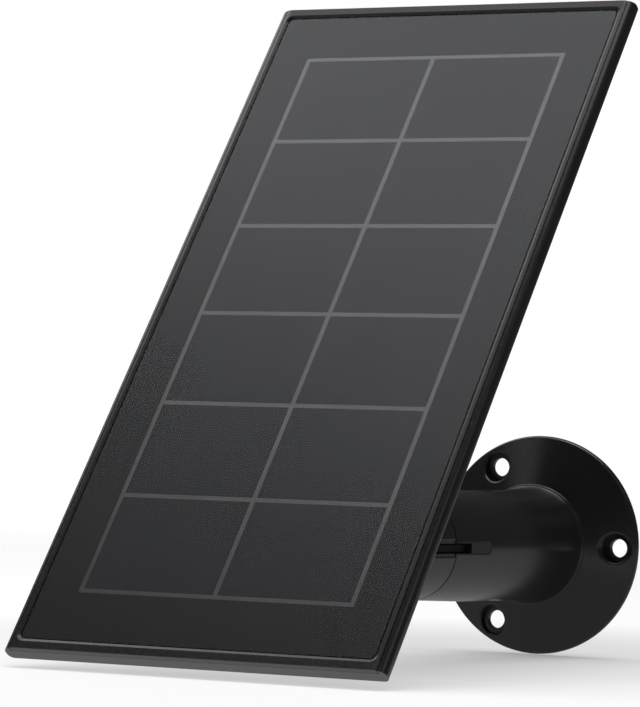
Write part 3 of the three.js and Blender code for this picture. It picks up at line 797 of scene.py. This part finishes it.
def pivot_fasteners():
    end = TUBE_R - 0.9
    bolt = turned("pivot_bolt_turned", [
        (0, -end + 3), (2.6, -end + 3), (3, -end + 3.4), (3, 10), (5, 10, 0.2), (5, end, 0.5), (0, end)],
        sides=64)
    join(bolt, threaded("thread", 3, -end, -end + 3.5, 0.8, 0.4))
    cut(bolt, prism("hex", circle(2.3, sides=6), end - 2, end + 1))
    fit(place(bolt, shift(0, PIVOT_S, 0), SIDE), KNUCKLE, "steel", "pivot_bolt")
    nut = prism("pivot_nut_hex", circle(4.9, sides=6), -12.6, -10)
    intersect(nut, turned("cone", [
        (0, -13), (4.3, -13), (5.2, -11.9), (5.2, -10.7), (4.3, -9.6), (0, -9.6)], sides=64))
    cut(nut, prism("hole", circle(3.1, sides=32), -14, -9))
    fit(place(nut, shift(0, PIVOT_S, 0), SIDE), KNUCKLE, "steel", "pivot_nut")


# ---------------------------------------------------------------- tilt bracket
# A frame for what runs across the bracket: X becomes up the panel, Y out of it and Z to the right.
ACROSS = Matrix(((0, 0, 1), (1, 0, 0), (0, 1, 0))).to_4x4()
BASE_NEAR, BASE_FAR = 16.9, 20.9
STUD_R, STUD_HOLE_R = 3.175, 3.475


def tilt_bracket():
    half, waist, eye_r = 10, 7.5, 9
    top, bend = BASE_NEAR + 1, BASE_NEAR * 0.6
    side = [*arc(0, 0, eye_r, 180, 360, 36), *curve((eye_r, 0), (waist, bend), (half, top), 10)]
    side += [(-half, top), *curve((-half, top), (-waist, bend), (-eye_r, 0), 10)[:-1]]
    tongue = place(soften(prism("tilt_bracket_moulded", side, -4.4, 4.4), 0.4), ACROSS)
    join(tongue, turned("base", [
        (0, BASE_NEAR), (13, BASE_NEAR, 0.8), (13, BASE_FAR, 0.3), (0, BASE_FAR)], sides=96))
    bore = place(prism("bore", circle(3.3, sides=40), -6, 6), ACROSS)
    cut(tongue, bore, prism("seat", circle(STUD_HOLE_R, sides=40), 11.9, BASE_FAR + 1))
    fit(place(tongue, BRACKET), TILTING, "shell", "tilt_bracket")
    for turn, name in ((ACROSS, "right"), (Matrix.Rotation(math.pi, 4, "Z") @ ACROSS, "left")):
        washer = turned(f"friction_washer_{name}_disc", [
            (3.3, 4.5, 0.1), (8.7, 4.5, 0.2), (8.7, 5.5, 0.2), (3.3, 5.5, 0.1)], sides=64)
        fit(place(washer, turn, BRACKET), TILTING, "rubber", f"friction_washer_{name}")
    stud = threaded("mounting_stud_thread", STUD_R, 12.2, 34, 1.27, 0.62)
    fit(place(stud, BRACKET), TILTING, "steel", "mounting_stud")


def lock_ring():
    """Thumb ring with twelve finger dents."""
    def scalloped(radius, angle):
        dent = max(0.0, math.cos(12 * angle)) ** 1.5 * 0.8
        return radius - (dent if radius > 10 else 0)
    near = BASE_FAR + GAP
    body = turned("lock_ring_moulded", [
        (STUD_HOLE_R, near, 0.2), (12, near, 0.8), (12, near + 5, 0.8), (7, near + 5, 0.2),
        (6.5, near + 4.5, 0.2), (STUD_HOLE_R, near + 4.5, 0.2)], sides=192, radius_at=scalloped)
    fit(place(body, BRACKET), "lock_ring", "shell", "lock_ring")


# ---------------------------------------------------------------- solar panel
WIDE, TALL = 104, 209.5
FRONT, BACK = 0.6, -4.0
WIDEST = -1.5                      # how deep the sides are at their widest
SEAM_X = 50.1                      # half-width of the line between tray and bezel
END_LEDGE = -0.9                   # top of the tray's end walls, which the bezel covers
WINDOW, WINDOW_CORNER = (97, 203.6), 1.6
WINDOW_SLOPE = 0.9                 # how much wider the window is at the bezel's front, on each side
GLASS, GLASS_CORNER = (96.4, 203), 1.4
CELL_PITCH, COLUMNS, ROWS = (37.2, 28.91), 2, 6
LINE = 1.25                        # width of the pale lines
STUD_UP = (pivot - panel_centre).dot(panel_up) / MM
POD_UP = STUD_UP + 3
POD, POD_CORNER, POD_WALL = (60, 66), 9, 1.8
SCREW_PLACES = [(x, POD_UP + y) for x, y in ((-23.5, -26.5), (23.5, -26.5), (23.5, 26.5), (-23.5, 26.5))]
TO_GLAND = (Matrix.Rotation(-math.pi / 2, 4, "X"), shift(17, POD_UP - 33, -7.6))


def slab(name):
    """The panel's whole outline: sides rounded over from the rim's inner edge, ends cut flat."""
    upper, lower = (3.5, FRONT - WIDEST), 1.6
    right = arc(WIDE / 2 - lower, BACK + lower, lower, -90, 0, 10)
    right += arc(WIDE / 2 - upper[0], WIDEST, upper, 0, 90, 16)
    section = right + [(-x, z) for x, z in reversed(right)]
    # The section is drawn in X and Z and runs along Y.
    stand = Matrix(((1, 0, 0), (0, 0, -1), (0, 1, 0))).to_4x4()
    return place(prism(name, section, -TALL / 2, TALL / 2), stand)


def rear_housing():
    width = 2 * SEAM_X + 0.2
    tray = slab("rear_housing_moulded")
    cut(tray, prism("pocket", rounded_rect(width, 208, 1.2), -2.6, 2))
    cut(tray, prism("ends", rounded_rect(width, TALL + 10, 0.1, steps=1), END_LEDGE - 0.06, 2))
    soften(tray, 0.14, angle=50)
    field = prism("field", rounded_rect(WIDE - 16, TALL - 12, 5), BACK - 1, BACK + 0.3)
    cut(tray, soften(field, 0.25, angle=50))
    for screw_place in SCREW_PLACES:
        join(tray, prism("boss", circle(3.1, screw_place, 32), -9.8, -3.5))
    for screw_place in SCREW_PLACES:
        cut(tray, prism("pilot", circle(1.5, screw_place, 24), -11, -3.3))
    cut(tray, prism("wires", rounded_rect(16, 8, 2, (0, POD_UP + 24)), BACK - 1, 0))
    fit(place(tray, PANEL), TURNING, "shell", "rear_housing")


def front_bezel():
    width = 2 * SEAM_X - 0.2
    rim = slab("front_bezel_moulded")
    cap = prism("cap", rounded_rect(width, TALL + 10, 0.1, steps=1), END_LEDGE, 2)
    skirt = prism("skirt", rounded_rect(width, 207.4, 1), -2.5, 0)
    intersect(rim, join(cap, skirt))
    # The window opens from the cover's top with a narrow slope.
    mouth, mouth_corner = [side + 2 * WINDOW_SLOPE for side in WINDOW], 2.3
    rings = []
    for size, corner, z in (
            (WINDOW, WINDOW_CORNER, -0.25), (WINDOW, WINDOW_CORNER, 0.28),
            (mouth, mouth_corner, FRONT + 0.02), (mouth, mouth_corner, 2)):
        rings.append([(x * MM, y * MM, z * MM) for x, y in rounded_rect(*size, corner, steps=10)])
    cut(rim, skin("window", rings))
    cut(rim, prism("opening", rounded_rect(95, 201.2, 1), -5, 2))
    fit(place(soften(rim, 0.2, angle=40), PANEL), TURNING, "bezel", "front_bezel", angle=14)


def cover_and_seal():
    low, high = (height / MM for height in COVER)
    sheet = prism("cover_glass_sheet", rounded_rect(*GLASS, GLASS_CORNER, steps=12), low, high)
    fit(place(soften(sheet, 0.05, angle=60), PANEL), TURNING, "cover_glass", "cover_glass")
    seal = prism("glass_seal_bead", rounded_rect(96.2, 202.65, 1.4), -0.15, -0.05)
    cut(seal, prism("inside", rounded_rect(95.1, 201.3, 1), -1, 1))
    fit(place(seal, PANEL), TURNING, "rubber", "glass_seal")


def board_and_print():
    """The pale board with its ribbons between the cells, and the black print under the cover's border."""
    reach = (COLUMNS * CELL_PITCH[0] + LINE, ROWS * CELL_PITCH[1] + LINE)
    ribbons = [rounded_rect(LINE, reach[1], 0.02, ((i - COLUMNS / 2) * CELL_PITCH[0], 0), 1)
               for i in range(COLUMNS + 1)]
    ribbons += [rounded_rect(reach[0], LINE, 0.02, (0, (i - ROWS / 2) * CELL_PITCH[1]), 1)
                for i in range(ROWS + 1)]
    board = prism("cell_board_sheet", rounded_rect(94.4, 200.6, 0.8), -2.3, -0.35)
    for ribbon in ribbons:
        join(board, prism("ribbon", ribbon, -0.6, -0.055))
    fit(place(board, PANEL), TURNING, "grid_line", "cell_board")
    outline = rounded_rect(GLASS[0] - 0.1, GLASS[1] - 0.1, GLASS_CORNER, steps=12)
    border = prism("border_mask_print", outline, -0.02, 0.03)
    cut(border, prism("inside", rounded_rect(*reach, 0.02, steps=1), -1, 1))
    fit(place(border, PANEL), TURNING, "mask", "border_mask")


def pod_outline(grow):
    return rounded_rect(POD[0] + 2 * grow, POD[1] + 2 * grow, POD_CORNER + grow, (0, POD_UP), 12)


def rear_pod():
    """Cover of the electronics, with its bosses, screw wells, insert and gland holes."""
    stud_place = (0, STUD_UP)
    pod = soften(prism("rear_pod_moulded", pod_outline(0), -12, -5), 1.3, 6, 50)
    join(pod, soften(prism("boss", circle(9, stud_place, 64), -13.4, -6), 0.5, 4, 50))
    cut(pod, prism("inside", pod_outline(-POD_WALL), -10.2, -3))
    join(pod, prism("boss", circle(8.6, stud_place, 64), -11, -5.2))
    for screw_place in SCREW_PLACES:
        join(pod, prism("post", circle(4, screw_place, 32), -11.4, -10.1))
    for screw_place in SCREW_PLACES:
        cut(pod, prism("hole", circle(1.5, screw_place, 24), -14, -8))
        well = turned("well", [
            (0, -14), (3.1, -14), (3.1, -12.2), (2.8, -11.8), (2.8, -11.1), (0, -11.1)], sides=40)
        cut(pod, place(well, shift(*screw_place, 0)))
    cut(pod, prism("insert", circle(5.5, stud_place, 48), -15, 0))
    cut(pod, place(prism("gland", circle(2.2, sides=32), -1, 3), *TO_GLAND))
    fit(place(pod, PANEL), TURNING, "shell", "rear_pod")
    seal = prism("pod_seal_gasket", rounded_rect(59.6, 65.6, 8.8, (0, POD_UP), 10), -4.9, -4.1)
    cut(seal, prism("inside", pod_outline(-POD_WALL), -6, -3))
    fit(place(soften(seal, 0.15, 2, 50), PANEL), TURNING, "rubber", "pod_seal")


def pod_screws():
    """Four screws with domed heads and crossed recesses."""
    top = -11.2
    for i, (x, y) in enumerate(SCREW_PLACES):
        screw = turned(f"pod_screw_{i + 1}_turned", [
            (0, top - 1.5), (2.5, top - 1.5, 1.1), (2.5, top, 0.1), (1.15, top), (1.15, top + 0.2),
            (0, top + 0.2)], sides=48)
        join(screw, threaded("thread", 1.2, top + 0.1, -4, 0.8, 0.25, 24))
        for degrees in (0, 90):
            blade = skin("blade", [
                [(a * w * MM, b * 0.28 * MM, z * MM) for a, b in ((-1, -1), (1, -1), (1, 1), (-1, 1))]
                for w, z in ((1.5, top - 1.7), (1.3, top - 1.4), (0.7, top - 0.6))])
            cut(screw, place(blade, Matrix.Rotation(math.radians(degrees), 4, "Z")))
        fit(place(screw, shift(x, y, 0), PANEL), TURNING, "steel", f"pod_screw_{i + 1}")


def insert_and_gland():
    def knurled(radius, angle):
        return radius - (0.15 * (1 + math.cos(48 * angle)) if 5 < radius < 5.3 else 0)
    insert = turned("threaded_insert_turned", [
        (STUD_HOLE_R, -13.3, 0.4), (4.9, -13.3, 0.15), (4.9, -12.4), (5.2, -12.2), (5.2, -6.2), (4.9, -5.9),
        (4.9, -5.6), (STUD_HOLE_R, -5.6, 0.3)], sides=192, radius_at=knurled)
    fit(place(insert, shift(0, STUD_UP, 0), PANEL), TURNING, "brass", "threaded_insert")
    gland = turned("cable_gland_moulded", [
        (1.5, -2.1, 0.2), (2.6, -2.1, 0.3), (3.2, -1.2, 0.25), (3.2, -0.1, 0.15), (1.9, -0.1), (1.9, 1.9),
        (2.45, 1.9, 0.1), (2.3, 2.9, 0.2), (1.5, 2.9, 0.2)], sides=48)
    fit(place(gland, *TO_GLAND, PANEL), TURNING, "rubber", "cable_gland")


for make in (
        arm_body, end_collar, locking_key, wall_pad, swivel_parts, swivel_knuckle, pivot_fasteners,
        tilt_bracket, lock_ring,
        rear_housing, front_bezel, cover_and_seal, board_and_print, rear_pod, pod_screws, insert_and_gland):
    make()

# ---------------------------------------------------------------- carried-over CAD nodes
slots = {part["node"]: part["material_slot"] for part in frame["record"]["subparts"]}
for node, thing in frame["nodes"].items():
    thing.data.materials.clear()
    thing.data.materials.append(FINISH[slots[node]])
